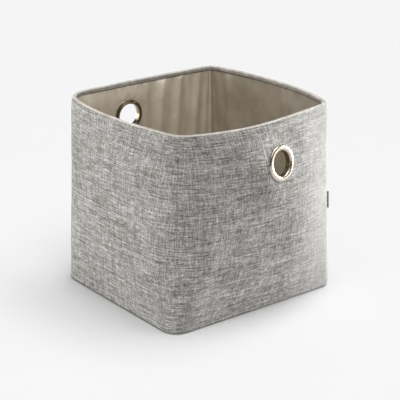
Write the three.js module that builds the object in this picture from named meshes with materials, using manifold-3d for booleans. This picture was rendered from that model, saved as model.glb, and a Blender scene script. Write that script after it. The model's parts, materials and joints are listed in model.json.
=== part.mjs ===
// Fabric storage bin: four stiffened fabric walls and a fabric base, lined, with the outer fabric
// folded in over the rim, a metal eyelet in two opposite walls and a loose covered insert on the floor.
// Millimetres, +Z up, base on z = 0. Walls run front (-Y), right (+X), back (+Y), left (-X).
import * as THREE from "three";
import { mergeVertices } from "three/addons/utils/BufferGeometryUtils.js";
import Module from "manifold-3d";

const wasm = await Module();
wasm.setup();

// Overall form
const HEIGHT = 300;
const TOP_LENGTH_X = 284; // between the rim's corners
const TOP_LENGTH_Y = 284;
const BASE_LENGTH_X = 296;
const BASE_LENGTH_Y = 313;
const RIM_BOW = { front: 17.5, right: 24, back: 21.5, left: 3 }; // how far each rim side bulges
const RIM_LEAN = { front: -0.21, right: -0.43, back: -0.3, left: 0 }; // moves the bulge along its side
const RIM_CORNER = [35, 14, 10, 12]; // cut back from each corner, from front left round to back left
const BASE_CORNER = [38, 34, 20, 34];
const WAIST_LENGTH_X = 287.6; // at half height, where the soft walls stand fullest
const WAIST_LENGTH_Y = 297.8;
const WAIST_SHIFT = [1.1, -2.4];
const WAIST_BOW = { front: 11, right: 23, back: 11, left: 2 };
const WAIST_LEAN = { front: -0.6, right: 0.5, back: -0.15, left: 0 };
const WAIST_CORNER = [45, 66, 15, 23];

// Layers of a wall, from the outside in
const CLEARANCE = 0.3; // between two layers that lie on each other
const SHELL_THICKNESS = 1.2;
const BOARD_THICKNESS = 2;
const LINING_THICKNESS = 0.8;
const HEM_DEPTH = 7; // shell fabric turned down inside the rim

// Loose base insert
const INSERT_BOARD_THICKNESS = 3;
const INSERT_COVER_THICKNESS = 0.7;
const INSERT_CLEARANCE = 1.5; // to the narrowest place on its way out
const SLEEVE_MOUTH = 36; // length of the cover's open end

// Eyelets
const EYELET_BORE_RADIUS = 19.5;
const EYELET_FLANGE_WIDTH = 8.5;
const EYELET_FLANGE_HEIGHT = 2.8;
const EYELET_METAL = 0.9;
const EYELET_ROLL_WIDTH = 2.8;
const WASHER_WIDTH = 6.5;
const WASHER_THICKNESS = 1.2;
const EYELET_OFFSET = { right: 24.5, left: 28 }; // to the right of the wall's middle, seen from outside
const EYELET_DROP = { right: 65, left: 56 }; // below the rim

// Label in the seam between the right and back walls
const LABEL_HEIGHT = 27;
const LABEL_REACH = 3;
const LABEL_THICKNESS = 0.9;
const LABEL_BOTTOM = 131;

// Facets
const SIDE_STEPS = 10;
const CORNER_STEPS = 4; // even, because the seam is at the corner's middle
const WALL_LEVELS = 5;
const ROUND_STEPS = 32;

const WALLS = ["front", "right", "back", "left"];
const LOOP_STEP = SIDE_STEPS + CORNER_STEPS;

const BARREL_RADIUS = EYELET_BORE_RADIUS + EYELET_METAL;
const EYELET_FLANGE_RADIUS = EYELET_BORE_RADIUS + EYELET_FLANGE_WIDTH;
const BOARD_INSET = SHELL_THICKNESS + CLEARANCE;
const LINING_INSET = BOARD_INSET + BOARD_THICKNESS + CLEARANCE;
const HEM_INSET = LINING_INSET + LINING_THICKNESS + CLEARANCE;
const RIM_THICKNESS = HEM_INSET + SHELL_THICKNESS;
const WALL_BOTTOM = SHELL_THICKNESS + CLEARANCE;
const LINING_BASE_TOP = WALL_BOTTOM + LINING_THICKNESS;
const FLOOR = LINING_BASE_TOP + CLEARANCE;
const FOLD_BOTTOM = HEIGHT - SHELL_THICKNESS - CLEARANCE;

const FINISH = {
  shell: { color: 0xb3b0a8, roughness: 0.95, metalness: 0 },
  lining: { color: 0x9a8f7d, roughness: 0.6, metalness: 0 },
  board: { color: 0xa08c70, roughness: 0.9, metalness: 0 },
  metal: { color: 0xd8cbb6, roughness: 0.2, metalness: 1 },
  label: { color: 0x4b4946, roughness: 0.8, metalness: 0 },
};

/** Corner points of a rectangle, from front left, anticlockwise seen from above. */
function rectangle(lengthX, lengthY) {
  return [
    [-1, -1],
    [1, -1],
    [1, 1],
    [-1, 1],
  ].map(([x, y]) => new THREE.Vector2((x * lengthX) / 2, (y * lengthY) / 2));
}

/** Point on a bulging side between two corners, at 0 to 1 of its length. */
function sidePoint(from, to, bow, lean, at) {
  const along = to.clone().sub(from);
  const outward = new THREE.Vector2(along.y, -along.x).normalize();
  const bulge = bow * 4 * at * (1 - at) * (1 + lean * (2 * at - 1));
  return from.clone().addScaledVector(along, at).addScaledVector(outward, bulge);
}

/** Where the line from a along u meets the line from b along v. */
function meeting(a, u, b, v) {
  const gap = b.clone().sub(a);
  const t = (gap.x * v.y - gap.y * v.x) / (u.x * v.y - u.y * v.x);
  return a.clone().addScaledVector(u, t);
}

/** Closed outline as points with outward normals; each wall starts at a corner's middle. */
function outline(corners, bows, leans, cuts) {
  const sides = corners.map((from, i) => {
    const next = (i + 1) % 4;
    const to = corners[next];
    const length = from.distanceTo(to);
    const start = cuts[i] / length;
    const end = 1 - cuts[next] / length;
    return Array.from({ length: SIDE_STEPS + 1 }, (_, k) =>
      sidePoint(from, to, bows[i], leans[i], start + ((end - start) * k) / SIDE_STEPS),
    );
  });
  const points = [];
  sides.forEach((side, i) => {
    const before = sides[(i + 3) % 4];
    const a = before[SIDE_STEPS];
    const b = side[0];
    const apex = meeting(
      a,
      a.clone().sub(before[SIDE_STEPS - 1]),
      b,
      side[1].clone().sub(b),
    );
    for (let k = 1; k < CORNER_STEPS; k++) {
      const t = k / CORNER_STEPS;
      points.push(
        a
          .clone()
          .multiplyScalar((1 - t) ** 2)
          .addScaledVector(apex, 2 * t * (1 - t))
          .addScaledVector(b, t * t),
      );
    }
    points.push(...side);
  });
  const first = CORNER_STEPS / 2 - 1;
  const loop = points.slice(first).concat(points.slice(0, first));
  return loop.map((p, j) => {
    const along = loop[(j + 1) % loop.length]
      .clone()
      .sub(loop[(j + loop.length - 1) % loop.length]);
    return { p, n: new THREE.Vector2(along.y, -along.x).normalize() };
  });
}

const STILL = [0, 0, 0, 0];
const BASE_LOOP = outline(
  rectangle(BASE_LENGTH_X, BASE_LENGTH_Y),
  STILL,
  STILL,
  BASE_CORNER,
);
const TOP_LOOP = outline(
  rectangle(TOP_LENGTH_X, TOP_LENGTH_Y),
  WALLS.map((wall) => RIM_BOW[wall]),
  WALLS.map((wall) => RIM_LEAN[wall]),
  RIM_CORNER,
);
const WAIST_LOOP = outline(
  rectangle(WAIST_LENGTH_X, WAIST_LENGTH_Y),
  WALLS.map((wall) => WAIST_BOW[wall]),
  WALLS.map((wall) => WAIST_LEAN[wall]),
  WAIST_CORNER,
).map(({ p, n }) => ({ p: p.add(new THREE.Vector2(...WAIST_SHIFT)), n }));

/** Point of the bin's skin at a station round the loop and a height, moved in by an inset. */
function skinPoint(station, z, inset) {
  const count = BASE_LOOP.length;
  const j = Math.floor(station);
  const mix = station - j;
  const share = z / HEIGHT;
  const loops = [
    [BASE_LOOP, (1 - share) * (1 - 2 * share)],
    [WAIST_LOOP, 4 * share * (1 - share)],
    [TOP_LOOP, share * (2 * share - 1)],
  ];
  const at = (key) =>
    loops.reduce((sum, [loop, part]) => {
      const here = loop[j % count][key].clone().lerp(loop[(j + 1) % count][key], mix);
      return sum.addScaledVector(here, part);
    }, new THREE.Vector2());
  const p = at("p").addScaledVector(at("n").normalize(), -inset);
  return new THREE.Vector3(p.x, p.y, z);
}

/** Mesh of triangles as one closed body that faces outwards. */
function closedBody(points, faces) {
  let volume = 0;
  for (const [a, b, c] of faces) {
    volume += points[a].dot(points[b].clone().cross(points[c]));
  }
  const turned = volume < 0 ? faces.map(([a, b, c]) => [a, c, b]) : faces;
  return new THREE.BufferGeometry()
    .setFromPoints(points)
    .setIndex(turned.flat());
}

/** Cells of a profile's end face: one between each two levels, and one for a turned-down top. */
function endCells(count, paired) {
  const cells = Array.from({ length: paired - 1 }, (_, k) => [
    k,
    k + 1,
    count - 2 - k,
    count - 1 - k,
  ]);
  if (count > 2 * paired) {
    cells.push(Array.from({ length: count - 2 * paired + 2 }, (_, k) => paired - 1 + k));
  }
  return cells;
}

/**
 * Sweeps a closed profile of [inset, z] points, listed clockwise, along the skin. Its first and
 * last `paired` points are the levels of its outer and inner faces.
 */
function sweepWall(stations, clockwise, paired) {
  const profile = clockwise.slice().reverse();
  const points = stations.flatMap((s) =>
    profile.map(([inset, z]) => skinPoint(s, z, inset)),
  );
  const n = profile.length;
  const faces = [];
  for (let s = 0; s + 1 < stations.length; s++) {
    for (let k = 0; k < n; k++) {
      const next = (k + 1) % n;
      const a = s * n + k;
      const b = s * n + next;
      if (profile[next][1] > profile[k][1]) {
        faces.push([a, b, b + n], [a, b + n, a + n]);
      } else {
        faces.push([a, b, a + n], [b, b + n, a + n]);
      }
    }
  }
  const flat = profile.map(([inset, z]) => new THREE.Vector2(inset, z));
  const last = (stations.length - 1) * n;
  for (const cell of endCells(n, paired)) {
    const corners = cell.map((i) => flat[i]);
    for (const triangle of THREE.ShapeUtils.triangulateShape(corners, [])) {
      const [a, b, c] = triangle.map((i) => cell[i]);
      faces.push([a, c, b], [a + last, b + last, c + last]);
    }
  }
  return closedBody(points, faces);
}

/** Stations of one wall, from seam to seam, with the seam's gap left at both ends. */
function wallStations(index, trim = 0) {
  const start = index * LOOP_STEP;
  const stations = [];
  for (let k = trim; k <= LOOP_STEP - trim; k++) {
    stations.push(start + k);
  }
  if (trim === 0) {
    const half = CLEARANCE / 2;
    const step = (s) => skinPoint(s, 0, 0).distanceTo(skinPoint(s + 1, 0, 0));
    const rimStep = (s) =>
      skinPoint(s, HEIGHT, RIM_THICKNESS).distanceTo(skinPoint(s + 1, HEIGHT, RIM_THICKNESS));
    const shortest = (s) => Math.min(step(s), rimStep(s));
    stations[0] += half / shortest(start);
    stations[LOOP_STEP] -= half / shortest(start + LOOP_STEP - 1);
  }
  return stations;
}

/** Heights from one level to another that share the wall's common levels between. */
function levels(from, to) {
  const common = Array.from(
    { length: WALL_LEVELS - 1 },
    (_, k) => ((k + 1) * HEIGHT) / WALL_LEVELS,
  );
  const inner = [...common, HEIGHT - HEM_DEPTH].filter((z) => z > from && z < to);
  return [from, ...inner, to];
}

/** Closed profile of a plain layer between two insets and two heights. */
function layerProfile(inset, thickness, from, to) {
  const up = levels(from, to);
  return [
    ...up.map((z) => [inset, z]),
    ...up.reverse().map((z) => [inset + thickness, z]),
  ];
}

/** Outer wall fabric, folded over the rim and turned down inside. */
function shellWall(index) {
  const up = levels(WALL_BOTTOM, HEIGHT);
  const down = levels(WALL_BOTTOM, HEIGHT - SHELL_THICKNESS).reverse();
  const profile = [
    ...up.map((z) => [0, z]),
    [RIM_THICKNESS, HEIGHT],
    [RIM_THICKNESS, HEIGHT - HEM_DEPTH],
    [HEM_INSET, HEIGHT - HEM_DEPTH],
    [HEM_INSET, HEIGHT - SHELL_THICKNESS],
    ...down.map((z) => [SHELL_THICKNESS, z]),
  ];
  return sweepWall(wallStations(index), profile, up.length);
}

/** Stiffener board of a wall, which stops where the corners start to turn. */
function boardWall(index) {
  const profile = layerProfile(BOARD_INSET, BOARD_THICKNESS, WALL_BOTTOM, FOLD_BOTTOM);
  return sweepWall(wallStations(index, CORNER_STEPS / 2), profile, profile.length / 2);
}

/** Lining of a wall, whose top edge is caught under the turned-down fabric. */
function liningWall(index) {
  const profile = layerProfile(LINING_INSET, LINING_THICKNESS, FLOOR, FOLD_BOTTOM);
  return sweepWall(wallStations(index), profile, profile.length / 2);
}

/** Flat sheet of a given outline between two heights. */
function plate(points, bottom, top) {
  const geometry = new THREE.ExtrudeGeometry(new THREE.Shape(points), {
    depth: top - bottom,
    bevelEnabled: false,
  });
  return geometry.translate(0, 0, bottom);
}

/** Outline of the bin's skin at a height, moved in by an inset. */
function skinOutline(z, inset) {
  return BASE_LOOP.map((_, j) => {
    const { x, y } = skinPoint(j, z, inset);
    return new THREE.Vector2(x, y);
  });
}

/** How far from the centre a ray at an angle leaves a closed outline. */
function reach(points, angle) {
  const ray = new THREE.Vector2(Math.cos(angle), Math.sin(angle));
  let nearest = Infinity;
  points.forEach((a, i) => {
    const edge = points[(i + 1) % points.length].clone().sub(a);
    const across = ray.cross(edge);
    const t = a.cross(edge) / across;
    const u = a.cross(ray) / across;
    if (t > 0 && u >= -1e-9 && u <= 1 + 1e-9) {
      nearest = Math.min(nearest, t);
    }
  });
  return nearest;
}

/** Outline that passes every level of the bin with a given inset from the skin. */
function passingOutline(inset) {
  const loops = levels(0, HEIGHT).map((z) => skinOutline(z, inset));
  const steps = BASE_LOOP.length;
  return Array.from({ length: steps }, (_, k) => {
    const angle = (k * 2 * Math.PI) / steps;
    const radius = Math.min(...loops.map((loop) => reach(loop, angle)));
    return new THREE.Vector2(radius * Math.cos(angle), radius * Math.sin(angle));
  });
}

/** Solid of a geometry for cutting and joining. */
function solid(geometry) {
  const bare = new THREE.BufferGeometry().setAttribute(
    "position",
    geometry.index
      ? geometry.toNonIndexed().getAttribute("position")
      : geometry.getAttribute("position"),
  );
  const merged = mergeVertices(bare, 1e-4);
  return new wasm.Manifold(
    new wasm.Mesh({
      numProp: 3,
      vertProperties: merged.attributes.position.array,
      triVerts: new Uint32Array(merged.index.array),
    }),
  );
}

/** Geometry of a solid. */
function geometryOf(body) {
  const mesh = body.getMesh();
  return new THREE.BufferGeometry()
    .setAttribute("position", new THREE.BufferAttribute(mesh.vertProperties, 3))
    .setIndex(new THREE.BufferAttribute(mesh.triVerts, 1));
}

/** Frame of an eyelet on a wall: its centre on the skin and its axis pointing outwards. */
function eyeletSeat(wall) {
  const index = WALLS.indexOf(wall);
  const z = HEIGHT - EYELET_DROP[wall];
  const sign = wall === "right" ? 1 : -1;
  const start = index * LOOP_STEP;
  let station = start;
  while (sign * skinPoint(station, z, 0).y < EYELET_OFFSET[wall] && station < start + LOOP_STEP) {
    station += 0.02;
  }
  const centre = skinPoint(station, z, 0);
  const along = skinPoint(station + 0.3, z, 0).sub(skinPoint(station - 0.3, z, 0));
  const rise = skinPoint(station, z + 10, 0).sub(skinPoint(station, z - 10, 0));
  const axis = along.cross(rise).normalize();
  const heights = (inset) => {
    const found = [];
    for (let k = -2; k <= 2; k += 0.05) {
      for (let dz = -EYELET_FLANGE_RADIUS; dz <= EYELET_FLANGE_RADIUS; dz += 2) {
        const away = skinPoint(station + k, z + dz, inset).sub(centre);
        const height = away.dot(axis);
        if (away.addScaledVector(axis, -height).length() <= EYELET_FLANGE_RADIUS) {
          found.push(height);
        }
      }
    }
    return found;
  };
  return {
    centre,
    axis,
    outer: Math.max(...heights(0)) + CLEARANCE,
    inner: Math.min(...heights(LINING_INSET + LINING_THICKNESS)) - 1.5 * CLEARANCE,
  };
}

/** Turns a piece made round +Y into an eyelet's frame. */
function placed(geometry, seat) {
  const turn = new THREE.Quaternion().setFromUnitVectors(
    new THREE.Vector3(0, 1, 0),
    seat.axis,
  );
  return geometry
    .applyQuaternion(turn)
    .translate(seat.centre.x, seat.centre.y, seat.centre.z);
}

/** Ring turned from a closed profile of [radius, height] points. */
function ring(profile) {
  const points = [...profile, profile[0]].map(([r, h]) => new THREE.Vector2(r, h));
  return new THREE.LatheGeometry(points, ROUND_STEPS);
}

/** Height of the washer's free face along an eyelet's axis. */
function washerFace(seat) {
  return seat.inner - WASHER_THICKNESS;
}

/** Eyelet with its domed flange outside and its barrel rolled over the washer inside. */
function eyelet(seat) {
  const roll = washerFace(seat) - CLEARANCE;
  const dome = [
    [1, 0.25],
    [0.82, 0.75],
    [0.5, 1],
    [0.18, 0.85],
    [0, 0.45],
  ].map(([out, up]) => [
    EYELET_BORE_RADIUS + EYELET_FLANGE_WIDTH * out,
    seat.outer + EYELET_FLANGE_HEIGHT * up,
  ]);
  return placed(
    ring([
      [BARREL_RADIUS, seat.outer],
      [EYELET_FLANGE_RADIUS, seat.outer],
      ...dome,
      [EYELET_BORE_RADIUS, roll - EYELET_METAL / 2],
      [BARREL_RADIUS, roll - EYELET_METAL * 1.5],
      [BARREL_RADIUS + EYELET_ROLL_WIDTH, roll - EYELET_METAL],
      [BARREL_RADIUS + EYELET_ROLL_WIDTH, roll],
      [BARREL_RADIUS, roll],
    ]),
    seat,
  );
}

/** Washer between the lining and the rolled end of an eyelet. */
function washer(seat) {
  const inner = BARREL_RADIUS + CLEARANCE;
  const rim = inner + WASHER_WIDTH;
  const low = washerFace(seat);
  return placed(
    ring([
      [inner, seat.inner],
      [inner, low],
      [rim - WASHER_THICKNESS, low],
      [rim, low + WASHER_THICKNESS / 2],
      [rim, seat.inner],
    ]),
    seat,
  );
}

/** A wall layer with the eyelet's hole cut through it. */
function withHole(geometry, seat) {
  const radius = BARREL_RADIUS + CLEARANCE;
  const length = 4 * RIM_THICKNESS;
  const drill = placed(
    new THREE.CylinderGeometry(radius, radius, length, ROUND_STEPS),
    seat,
  );
  return geometryOf(solid(geometry).subtract(solid(drill)));
}

/** How far an eyelet stands in from the skin. */
function eyeletReach(seat) {
  return CLEARANCE + 1.5 * EYELET_METAL - washerFace(seat);
}

/** Cover of the insert: a flat sleeve, open at its left edge. */
function insertCover(inset) {
  const bottom = FLOOR;
  const pocketBottom = bottom + INSERT_COVER_THICKNESS;
  const pocketTop = pocketBottom + INSERT_BOARD_THICKNESS + 2 * CLEARANCE;
  const pocket = passingOutline(inset + INSERT_COVER_THICKNESS);
  const body = plate(passingOutline(inset), bottom, pocketTop + INSERT_COVER_THICKNESS);
  const hollow = plate(pocket, pocketBottom, pocketTop);
  const mouth = plate(pocket, pocketBottom, pocketTop).translate(-SLEEVE_MOUTH, 0, 0);
  return geometryOf(solid(body).subtract(solid(hollow)).subtract(solid(mouth)));
}

/** Board inside the insert's cover. */
function insertBoard(inset) {
  const bottom = FLOOR + INSERT_COVER_THICKNESS + CLEARANCE;
  const outlinePoints = passingOutline(inset + INSERT_COVER_THICKNESS + CLEARANCE);
  return plate(outlinePoints, bottom, bottom + INSERT_BOARD_THICKNESS);
}

/** Blank folded label that stands out of the seam between the right and back walls. */
function seamLabel() {
  const seam = WALLS.indexOf("back") * LOOP_STEP;
  const top = LABEL_BOTTOM + LABEL_HEIGHT;
  const reachOut = CLEARANCE + LABEL_REACH;
  const corner = (z, out, side) => {
    const root = skinPoint(seam, z, 0);
    const outward = skinPoint(seam, z, -1).sub(root);
    const across = new THREE.Vector3(-outward.y, outward.x, 0);
    return root
      .addScaledVector(outward, out)
      .addScaledVector(across, (side * LABEL_THICKNESS) / 2);
  };
  const points = [];
  for (const z of [LABEL_BOTTOM, top]) {
    points.push(corner(z, CLEARANCE, -1), corner(z, reachOut, -1));
    points.push(corner(z, reachOut, 1), corner(z, CLEARANCE, 1));
  }
  const quads = [
    [0, 1, 2, 3],
    [7, 6, 5, 4],
    [0, 4, 5, 1],
    [1, 5, 6, 2],
    [2, 6, 7, 3],
    [3, 7, 4, 0],
  ];
  return closedBody(
    points,
    quads.flatMap(([a, b, c, d]) => [
      [a, b, c],
      [a, c, d],
    ]),
  );
}

const bin = new THREE.Group();
bin.name = "fabric_storage_bin";

/** Adds a named piece to the bin. */
function add(name, geometry, finish) {
  const mesh = new THREE.Mesh(geometry, new THREE.MeshStandardMaterial(FINISH[finish]));
  mesh.name = name;
  bin.add(mesh);
}

const seats = { right: eyeletSeat("right"), left: eyeletSeat("left") };
WALLS.forEach((wall, index) => {
  const cut = (geometry) => (seats[wall] ? withHole(geometry, seats[wall]) : geometry);
  add(`shell_${wall}`, cut(shellWall(index)), "shell");
  add(`board_${wall}`, cut(boardWall(index)), "board");
  add(`lining_${wall}`, cut(liningWall(index)), "lining");
});
add("shell_base", plate(skinOutline(0, 0), 0, SHELL_THICKNESS), "shell");
add("lining_base", plate(skinOutline(0, LINING_INSET), WALL_BOTTOM, LINING_BASE_TOP), "lining");
for (const [wall, seat] of Object.entries(seats)) {
  add(`eyelet_${wall}`, eyelet(seat), "metal");
  add(`washer_${wall}`, washer(seat), "metal");
}
const insertInset =
  Math.max(RIM_THICKNESS, ...Object.values(seats).map(eyeletReach)) + INSERT_CLEARANCE;
add("insert_cover", insertCover(insertInset), "lining");
add("insert_board", insertBoard(insertInset), "board");
add("seam_label", seamLabel(), "label");

// The middle of the bin's overall width and length stands on the origin.
const middle = new THREE.Box3().setFromObject(bin).getCenter(new THREE.Vector3());
bin.position.set(-middle.x, -middle.y, 0);

export default bin;
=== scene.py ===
"""Fabric storage bin: linen-look walls over boards, a satin lining, metal eyelets and a loose base insert."""

import json
import logging
import math
from dataclasses import dataclass, field
from enum import Enum
from typing import Any, Callable, Sequence, Union

import bpy
import numpy as np
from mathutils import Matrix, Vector

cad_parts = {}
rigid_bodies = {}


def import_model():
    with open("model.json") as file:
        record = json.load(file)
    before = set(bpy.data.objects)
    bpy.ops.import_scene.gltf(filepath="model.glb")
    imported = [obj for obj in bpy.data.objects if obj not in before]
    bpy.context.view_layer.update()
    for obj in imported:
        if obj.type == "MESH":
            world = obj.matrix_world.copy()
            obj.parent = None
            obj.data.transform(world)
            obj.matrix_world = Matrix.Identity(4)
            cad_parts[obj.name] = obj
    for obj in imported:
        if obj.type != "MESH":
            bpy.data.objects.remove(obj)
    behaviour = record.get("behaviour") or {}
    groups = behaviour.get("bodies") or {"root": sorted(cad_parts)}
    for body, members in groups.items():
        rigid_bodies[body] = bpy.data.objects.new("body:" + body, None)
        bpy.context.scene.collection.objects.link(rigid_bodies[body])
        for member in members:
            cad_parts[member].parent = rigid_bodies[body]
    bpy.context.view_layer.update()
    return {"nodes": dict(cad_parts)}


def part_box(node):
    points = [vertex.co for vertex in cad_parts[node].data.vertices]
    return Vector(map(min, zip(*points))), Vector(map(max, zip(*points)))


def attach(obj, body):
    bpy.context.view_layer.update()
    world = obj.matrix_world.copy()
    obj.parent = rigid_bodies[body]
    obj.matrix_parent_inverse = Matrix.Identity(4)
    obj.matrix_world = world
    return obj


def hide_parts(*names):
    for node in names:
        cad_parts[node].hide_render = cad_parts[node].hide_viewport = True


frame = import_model()
LOG = logging.getLogger("bin")
MM = 0.001
EYELET_HOLE = 21.2 * MM  # radius of the holes in cloth and board that the eyelets pass through
Colour = tuple[float, float, float]
Array = np.ndarray


class Wall(Enum):
    """The four walls, in the order in which the outline runs round the bin."""

    FRONT = 0
    RIGHT = 1
    BACK = 2
    LEFT = 3

    @property
    def word(self) -> str:
        """Lower-case name, as the frame's nodes use it."""
        return self.name.lower()


class Body(Enum):
    """Bodies of the frame."""

    BIN = "bin"
    INSERT = "insert"


class Slot(Enum):
    """Material slots of the record."""

    SHELL = "shell"
    LINING = "lining"
    BOARD = "board"
    METAL = "metal"
    LABEL = "label"


# ---------------------------------------------------------------- shader maths


class Value:
    """A shader socket that takes part in Python expressions."""

    def __init__(self, tree: bpy.types.NodeTree, socket: bpy.types.NodeSocket | None) -> None:
        """Wraps an output socket of a node tree."""
        self.tree = tree
        self.socket = socket

    def math(self, operation: str, *others: "Number") -> "Value":
        """Adds a Math node.

        Args:
            operation: the Math node's operation.
            others: its second and third inputs.

        Returns:
            The node's result.
        """
        given = {0: self, **{i + 1: other for i, other in enumerate(others)}}
        return add_node(self.tree, "ShaderNodeMath", {"operation": operation}, given)

    def _reflected(self, operation: str, other: "Number") -> "Value":
        """Adds a Math node whose first input is the other operand."""
        return add_node(
            self.tree, "ShaderNodeMath", {"operation": operation}, {0: other, 1: self}
        )

    def __add__(self, other: "Number") -> "Value":
        """Sum."""
        return self.math("ADD", other)

    __radd__ = __add__

    def __sub__(self, other: "Number") -> "Value":
        """Difference."""
        return self.math("SUBTRACT", other)

    def __rsub__(self, other: "Number") -> "Value":
        """Difference with the operands turned round."""
        return self._reflected("SUBTRACT", other)

    def __mul__(self, other: "Number") -> "Value":
        """Product."""
        return self.math("MULTIPLY", other)

    __rmul__ = __mul__

    def __truediv__(self, other: "Number") -> "Value":
        """Quotient."""
        return self.math("DIVIDE", other)

    def band(self, low: float, high: float) -> "Value":
        """Smooth step from 0 at low to 1 at high.

        Args:
            low: where the step starts.
            high: where it ends.

        Returns:
            The stepped value.
        """
        return add_node(
            self.tree,
            "ShaderNodeMapRange",
            {"interpolation_type": "SMOOTHSTEP"},
            {0: self, 1: low, 2: high},
        )


Number = Union[float, Value]


def add_node(
    tree: bpy.types.NodeTree,
    kind: str,
    settings: dict[str, Any],
    inputs: dict[Union[int, str], Any],
    output: Union[int, str] = 0,
) -> Value:
    """Adds any node to a tree.

    Args:
        tree: the material's or world's node tree.
        kind: the node's type.
        settings: its properties; "stops" fills a colour ramp.
        inputs: values or links, by the socket's number or name.
        output: the socket that is returned.

    Returns:
        The chosen output.
    """
    made = tree.nodes.new(kind)
    for key, setting in settings.items():
        if key == "stops":
            elements = made.color_ramp.elements
            while len(elements) < len(setting):
                elements.new(0.5)
            for element, (place, colour) in zip(elements, setting):
                element.position = place
                element.color = (*colour, 1.0)
        else:
            setattr(made, key, setting)
    for key, given in inputs.items():
        if isinstance(given, Value):
            tree.links.new(given.socket, made.inputs[key])
        elif isinstance(given, (tuple, list)) and len(given) == 3:
            place = made.inputs[key]
            place.default_value = (*given, 1.0) if place.type == "RGBA" else given
        else:
            made.inputs[key].default_value = given
    return Value(tree, made.outputs[output] if len(made.outputs) else None)


class Painter:
    """A new material's node tree, with the steps that the finishes share."""

    def __init__(self, name: str) -> None:
        """Starts an empty material."""
        self.material = bpy.data.materials.new(name)
        self.material.use_nodes = True
        self.tree = self.material.node_tree
        self.tree.nodes.clear()

    def node(
        self,
        kind: str,
        settings: dict[str, Any] | None = None,
        inputs: dict[Union[int, str], Any] | None = None,
        output: Union[int, str] = 0,
    ) -> Value:
        """Adds a node to this material."""
        return add_node(self.tree, kind, settings or {}, inputs or {}, output)

    def cloth_axes(self, layer: str = "cloth") -> tuple[Value, Value]:
        """Distances in millimetres that a mesh holds in one of its maps.

        Args:
            layer: "cloth" for the way across and along the cloth, "seams" for the way to its seams.

        Returns:
            Both distances.
        """
        cloth = self.node("ShaderNodeUVMap", {"uv_map": layer})
        across = self.node("ShaderNodeSeparateXYZ", inputs={0: cloth})
        along = Value(self.tree, across.socket.node.outputs[1])
        return across * 1000.0, along * 1000.0

    def place(self, x: Number, y: Number, z: Number = 0.0) -> Value:
        """Joins three numbers to one vector."""
        return self.node("ShaderNodeCombineXYZ", inputs={0: x, 1: y, 2: z})

    def noise(
        self, at: Value | None, scale: float = 1.0, detail: float = 2.0, rough: float = 0.5
    ) -> Value:
        """Soft noise.

        Args:
            at: where it is read, or nothing for the object's own place.
            scale: how fine it is.
            detail: how many finer layers it has.
            rough: how strong the finer layers are.

        Returns:
            A value around 0.5.
        """
        if at is None:
            at = self.node("ShaderNodeTexCoord", output="Object")
        return self.node(
            "ShaderNodeTexNoise",
            {"noise_dimensions": "3D"},
            {"Vector": at, "Scale": scale, "Detail": detail, "Roughness": rough},
        )

    def mix(self, share: Number, first: Any, second: Any) -> Value:
        """Mixes two colours.

        Args:
            share: how much of the second colour.
            first: a colour or a link.
            second: a colour or a link.

        Returns:
            The mixed colour.
        """
        return self.node(
            "ShaderNodeMix",
            {"data_type": "RGBA", "clamp_factor": True},
            {0: share, 6: first, 7: second},
            output=2,
        )

    def ramp(self, share: Value, stops: Sequence[tuple[float, Colour]]) -> Value:
        """Colour ramp over a value."""
        return self.node("ShaderNodeValToRGB", {"stops": stops}, {0: share})

    def bump(self, height: Value, distance: float, strength: float = 1.0) -> Value:
        """Normal that a height in units of a distance gives."""
        return self.node(
            "ShaderNodeBump",
            inputs={"Height": height, "Distance": distance, "Strength": strength},
            output="Normal",
        )

    def finish(self, **inputs: Any) -> bpy.types.Material:
        """Closes the material with its surface.

        Args:
            inputs: the surface's sockets, with underscores for spaces.

        Returns:
            The material.
        """
        named = {key.replace("_", " "): given for key, given in inputs.items()}
        surface = self.node("ShaderNodeBsdfPrincipled", inputs=named)
        self.node("ShaderNodeOutputMaterial", inputs={0: surface})
        return self.material


# -------------------------------------------------------------------- finishes


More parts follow.
